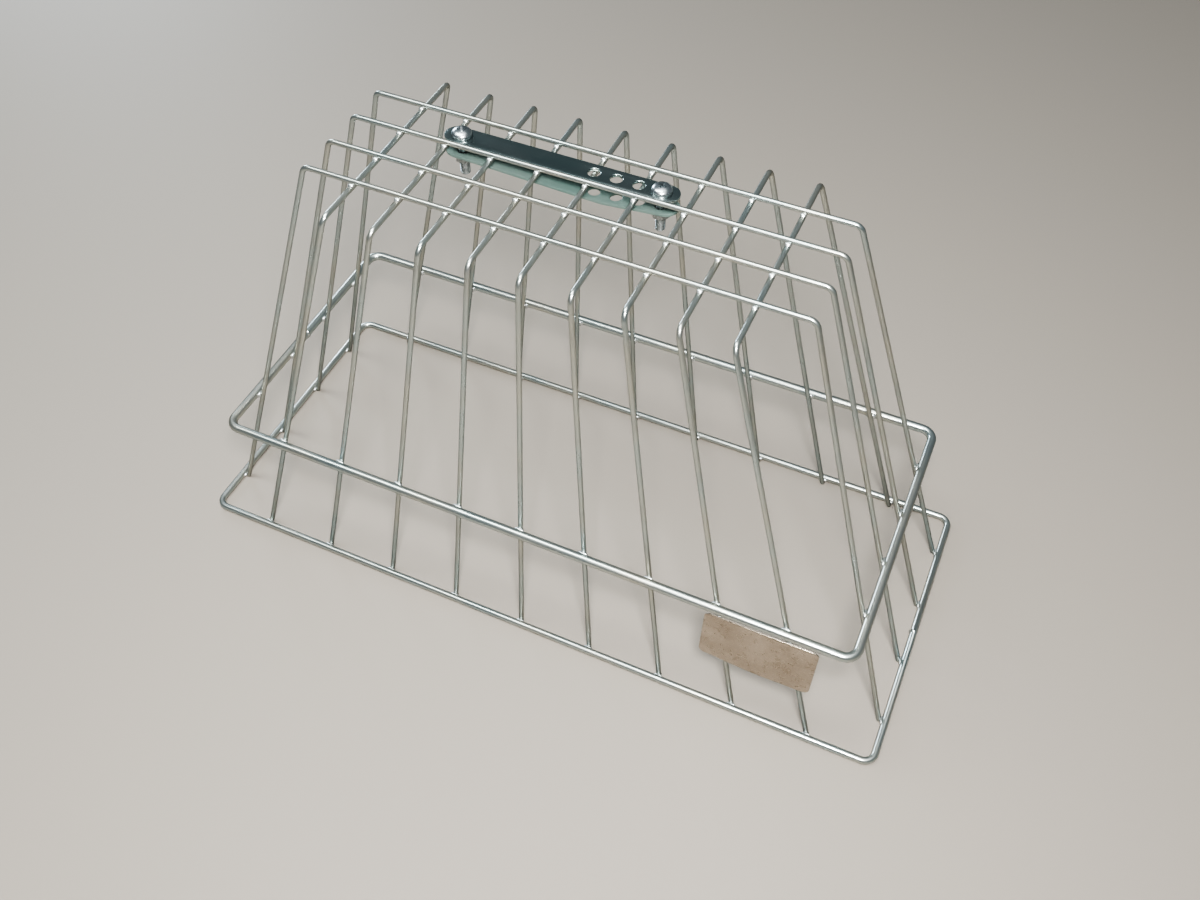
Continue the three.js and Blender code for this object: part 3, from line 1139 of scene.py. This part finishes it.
# %% [markdown]
# ## The nuts
# Two hexagon nuts sit under the inner strap. One is made at the origin and copied. A six-sided
# cylinder is the start. Trimmed by a round blank with coned ends, it gets the curved chamfers that
# every turned nut has, and a bore lets the screw through.

# %% Left and right nut
NUT_CHAMFER_HEIGHT = 0.4 * MM
BORE_RADIUS = 2.52 * MM
HEXAGON_SIDES = 6
HEXAGON_TURN = math.pi / HEXAGON_SIDES
NUT_SMOOTHING = 25


def coned_blank(size):
    """A round bar as long as the nut, coned at both ends down to the width across flats."""
    deselect_all()
    bpy.ops.mesh.primitive_cylinder_add(
        vertices=HEAD_SIDES, radius=size.x / 2, depth=size.z - 2 * NUT_CHAMFER_HEIGHT
    )
    blank = name_and_place("nut_blank")
    edit_all()
    narrowing = size.y / size.x
    for way in (1, -1):
        select_where("FACE", lambda face: face.normal.z * way > STRAIGHT_SHARE)
        bpy.ops.mesh.extrude_region_move(
            TRANSFORM_OT_translate={"value": (0, 0, way * NUT_CHAMFER_HEIGHT)}
        )
        bpy.ops.transform.resize(value=(narrowing, narrowing, 1), center_override=(0, 0, 0))
    leave_edit()
    return blank


def hexagon_nut():
    """The nut with its middle at the origin."""
    size = middle_and_size("left_nut")[1]
    deselect_all()
    bpy.ops.mesh.primitive_cylinder_add(
        vertices=HEXAGON_SIDES, radius=size.x / 2, depth=size.z, rotation=(0, 0, HEXAGON_TURN)
    )
    nut = name_and_place("chamfered_nut")
    combine(nut, coned_blank(size), "INTERSECT")
    deselect_all()
    bpy.ops.mesh.primitive_cylinder_add(vertices=SHANK_SIDES, radius=BORE_RADIUS, depth=2 * size.z)
    combine(nut, name_and_place("nut_bore"), "DIFFERENCE")
    return nut


def place_nut(pattern, name):
    nut = own_copy(pattern)
    nut.location = middle_and_size(name)[0]
    name_and_place(f"chamfered_{name}")
    smooth_faces(nut, NUT_SMOOTHING)
    finish_piece(nut, nut_finish, "inner_clamp", "zinc_fastener", name)


nut_pattern = hexagon_nut()
place_nut(nut_pattern, "left_nut")
place_nut(nut_pattern, "right_nut")
bpy.data.objects.remove(nut_pattern, do_unlink=True)

# %% [markdown]
# ## The plate finish
# The nameplate is thin sheet with a satin, warm grey skin, brushed along its length and a little
# stained, with a fine bright grain. Its warm cast is partly a painted reflection of warm
# surroundings. Both its faces are bare. Sheet as thin as this is never quite flat, and its shallow
# dents show only in what it mirrors, so a slow noise in the bump is enough for them.

# %% Plate finish
# The warm cast of these colours is partly a painted reflection of warm surroundings.
WARM_SATIN = (0.38, 0.32, 0.26, 1)
PALE_SATIN = (0.48, 0.415, 0.345, 1)
BRIGHT_SATIN = (0.74, 0.68, 0.60, 1)
STAINED_SATIN = (0.24, 0.195, 0.15, 1)
SLOW_NOISE = {"Detail": 1.0, "Roughness": 0.5}
BLOTCHY_NOISE = {"Detail": 4.0, "Roughness": 0.65}
BRUSHING = (60, 1800, 1800)
PLATE_CLOUDS = (55, 75, 75)
PLATE_STAINS = (240, 300, 300)
PLATE_GRAIN = (900, 1300, 1300)
PLATE_DENTS = (90, 120, 120)
STAIN_RANGE = (0.55, 0.75)
STAIN_SHARE = 0.5
GRAIN_RANGE = (0.5, 0.72)
GRAIN_SHARE = 0.3
PLATE_METALLIC = 0.95
PLATE_ROUGHNESS = 0.19
ROUGHER_BRUSHING = 0.12
ROUGHER_STAINS = 0.12
BRUSHING_DEPTH = 0.03 * MM
BRUSHING_STRENGTH = 0.5
DENTS_TO_BRUSHING = 6.0


def plain_plate_finish():
    finish = Finish("plain_plate")
    place = object_place(finish)
    brushing = stretched_noise(place, BRUSHING, GRITTY_NOISE)
    dents = stretched_noise(place, PLATE_DENTS, SLOW_NOISE)
    relief = brushing + dents * DENTS_TO_BRUSHING
    clouds = patches(place, PLATE_CLOUDS, CLOUDY_NOISE, CLOUD_RANGE)
    stains = patches(place, PLATE_STAINS, BLOTCHY_NOISE, STAIN_RANGE)
    grain = patches(place, PLATE_GRAIN, GRITTY_NOISE, GRAIN_RANGE)
    satin = mixed_colour(clouds, WARM_SATIN, PALE_SATIN)
    grained = mixed_colour(grain * GRAIN_SHARE, satin, BRIGHT_SATIN)
    finish.surface({
        "Base Color": mixed_colour(stains * STAIN_SHARE, grained, STAINED_SATIN),
        "Metallic": PLATE_METALLIC,
        "Roughness": PLATE_ROUGHNESS + brushing * ROUGHER_BRUSHING + stains * ROUGHER_STAINS,
        "Normal": bumped(relief, BRUSHING_DEPTH, BRUSHING_STRENGTH),
    })
    return finish


plate_finish = plain_plate_finish()
print("plate finish has", len(plate_finish.tree.nodes), "nodes")

# %% [markdown]
# ## The nameplate
# The plate is spot-welded to two legs of the near wall, close under the reinforcing ring. The box of
# the measured plate holds its slanted height and its thickness in one, so the slope of a leg is used
# to tell them apart. It also gives the frame in which the plate, made flat at the origin, is later
# stood against the wall.

# %% Plate sizes
PLATE_THICKNESS = 0.6 * MM
PLATE_CORNER_RADIUS = 3.0 * MM
PLATE_CORNER_STEPS = 8
PLATE_RIM_ROLL = 0.45 * MM
PLATE_CUT_STEP = 1.1 * MM

near_leg = cross_corners[0][1] - cross_corners[0][0]
wall_slant = math.atan2(near_leg.y, near_leg.z)
plate_middle, plate_box = middle_and_size("nameplate")
plate_width = plate_box.x
plate_height = (plate_box.z - PLATE_THICKNESS * math.sin(wall_slant)) / math.cos(wall_slant)
plate_frame = Matrix.Translation(plate_middle) @ Matrix.Rotation(math.pi / 2 - wall_slant, 4, "X")
print("plate", round(plate_width / MM, 1), "by", round(plate_height / MM, 1), "mm")

# %% [markdown]
# Years of use bowed the free lower edge of the plate outwards and curled a corner. A flat box would
# look like a sticker. So a box gets round corners and a rolled front rim and is cut into a fine grid,
# then pulled and pressed with a soft falloff: out along the lower edge, in at the two spot welds.

# %% Bow and press the plate
LOWER_EDGE_BOW = 1.9 * MM
BOW_REACH = 42 * MM
BOW_MIDDLE_X = 5 * MM
CORNER_CURL = 0.7 * MM
CURL_REACH = 14 * MM
SPOT_WELD_DEPTH = 0.45 * MM
SPOT_WELD_REACH = 2.6 * MM
SPOT_WELD_BELOW_TOP = 2.2 * MM
PICK_REACH = 1.0 * MM
UP_THE_PLATE = Vector((0, 1, 0))


def leg_in_plate(corners, plate_y):
    """Place on the plate, in its own axes, of the leg behind it at a height on the plate."""
    to_plate = plate_frame.inverted()
    foot = to_plate @ corners[0]
    top = to_plate @ corners[1]
    return foot.lerp(top, (plate_y - foot.y) / (top.y - foot.y))


def press_plate(place, depth, reach):
    """Moves the plate at a place, out of the wall if depth is above 0, and less further off."""
    lift_softly(lambda point: (point.co.xy - place).length < PICK_REACH, depth, reach, "SMOOTH")


spot_weld_y = plate_height / 2 - SPOT_WELD_BELOW_TOP
spot_welds = [leg_in_plate(corners, spot_weld_y) for corners in cross_corners[-2:]]

deselect_all()
bpy.ops.mesh.primitive_cube_add(size=1, scale=(plate_width, plate_height, PLATE_THICKNESS))
plate = name_and_place("bowed_nameplate")
edit_all()
select_where("EDGE", is_upright)
bpy.ops.mesh.bevel(offset=PLATE_CORNER_RADIUS, segments=PLATE_CORNER_STEPS, affect="EDGES")
select_where("EDGE", lambda edge: all(point.co.z > 0 for point in edge.verts))
bpy.ops.mesh.bevel(offset=PLATE_RIM_ROLL, segments=RIM_STEPS, affect="EDGES")
cut_across(LENGTHWAYS, plate_width / 2, PLATE_CUT_STEP)
cut_across(UP_THE_PLATE, plate_height / 2, PLATE_CUT_STEP)
lower_edge = -plate_height / 2
press_plate(Vector((BOW_MIDDLE_X, lower_edge)), LOWER_EDGE_BOW, BOW_REACH)
curled_corner = Vector((plate_width / 2 - PLATE_CORNER_RADIUS, lower_edge + PLATE_CORNER_RADIUS))
press_plate(curled_corner, CORNER_CURL, CURL_REACH)
for weld in spot_welds:
    press_plate(weld.xy, -SPOT_WELD_DEPTH, SPOT_WELD_REACH)
leave_edit()

plate.matrix_world = plate_frame
bpy.ops.object.transform_apply(location=True, rotation=True, scale=True)
smooth_faces(plate, SHEET_SMOOTHING)
finish_piece(plate, plate_finish, "basket", "plain_plate", "nameplate")

# %% [markdown]
# Two more nuggets join the plate to its legs, so that it doesn't float in front of them.

# %% Spot welds of the plate
PLATE_NUGGET = (1.7 * MM, 2.2 * MM, 0.5 * MM)


def plate_joints():
    turn = plate_frame.to_3x3()
    for weld in spot_welds:
        behind = Vector((weld.x, weld.y, -PLATE_THICKNESS / 2 - SPOT_WELD_DEPTH))
        yield frame_at(plate_frame @ behind, turn.col[1], turn.col[2], PLATE_NUGGET)


place_welds("nameplate_welds", nugget, plate_joints())
bpy.data.objects.remove(nugget, do_unlink=True)

# %% [markdown]
# ## The floor
# The basket stands on a plain pale floor, which only has to catch its shadows. It could be patterned,
# but bright wires mirror all that is round them, and a plain floor keeps them clear.

# %% Floor
FLOOR_SIZE = 8.0
FLOOR_COLOUR = (0.298, 0.27, 0.238, 1)
FLOOR_ROUGHNESS = 0.7

floor_finish = Finish("pale_floor")
floor_finish.surface({"Base Color": FLOOR_COLOUR, "Roughness": FLOOR_ROUGHNESS})
deselect_all()
bpy.ops.mesh.primitive_plane_add(size=FLOOR_SIZE)
floor = name_and_place("floor")
floor.data.materials.append(floor_finish.material)
print("floor", FLOOR_SIZE, "m wide")

# %% [markdown]
# ## The lights
# One large soft light would make the wires a flat grey. A small one, just above the camera, draws a
# single bright line on the viewer's side of each wire. A strip overhead does so for the rods that run
# along the basket, and a cool light behind it, on the left, for those that run across.

# %% Soft lights
BASKET_MIDDLE = Vector((0, 0, 120 * MM))
SOFT_LIGHTS = {
    "key_light": {
        "place": (0.22, -0.42, 0.74), "target": BASKET_MIDDLE,
        "size": (0.14, 0.14), "power": 10.0, "colour": (1.0, 0.98, 0.95),
    },
    "strip_light": {
        "place": (-0.33, -0.12, 1.1), "target": (-0.33, -0.12, 0),
        "size": (0.9, 0.3), "power": 8.0, "colour": (0.96, 1.0, 0.98),
    },
    "back_light": {
        "place": (-1.2, 0.85, 0.45), "target": BASKET_MIDDLE,
        "size": (0.4, 0.4), "power": 9.0, "colour": (0.80, 0.90, 1.0),
    },
}


def soft_light(name, place, target, size, power, colour):
    """Adds a light of a length and a width, turned from its place towards a target."""
    deselect_all()
    turn = (Vector(target) - Vector(place)).to_track_quat("-Z", "Y").to_euler()
    bpy.ops.object.light_add(type="AREA", location=place, rotation=turn)
    light = bpy.context.object
    light.name = name
    light.data.shape = "RECTANGLE"
    light.data.size, light.data.size_y = size
    light.data.energy = power
    light.data.color = colour


for name, settings in SOFT_LIGHTS.items():
    soft_light(name, **settings)
print("soft lights", list(SOFT_LIGHTS))

# %% [markdown]
# A weak light from straight above evens out the floor. The sky is dim, so that the upper sides of the
# straps stay dark, and a look with high contrast keeps the shaded sides of the wires deep.

# %% Even light and sky
EVEN_LIGHT_STRENGTH = 0.7
EVEN_LIGHT_SPREAD = math.radians(50)
SKY_COLOUR = (0.13, 0.15, 0.16, 1)

deselect_all()
bpy.ops.object.light_add(type="SUN", location=(0, 0, FLOOR_SIZE / 2))
even_light = bpy.context.object
even_light.name = "even_light"
even_light.data.energy = EVEN_LIGHT_STRENGTH
even_light.data.angle = EVEN_LIGHT_SPREAD

world = bpy.data.worlds.new("studio")
world.use_nodes = True
world.node_tree.nodes["Background"].inputs["Color"].default_value = SKY_COLOUR
bpy.context.scene.world = world
bpy.context.scene.view_settings.look = "AgX - High Contrast"
print("even light at", tuple(even_light.location), "and sky", SKY_COLOUR)
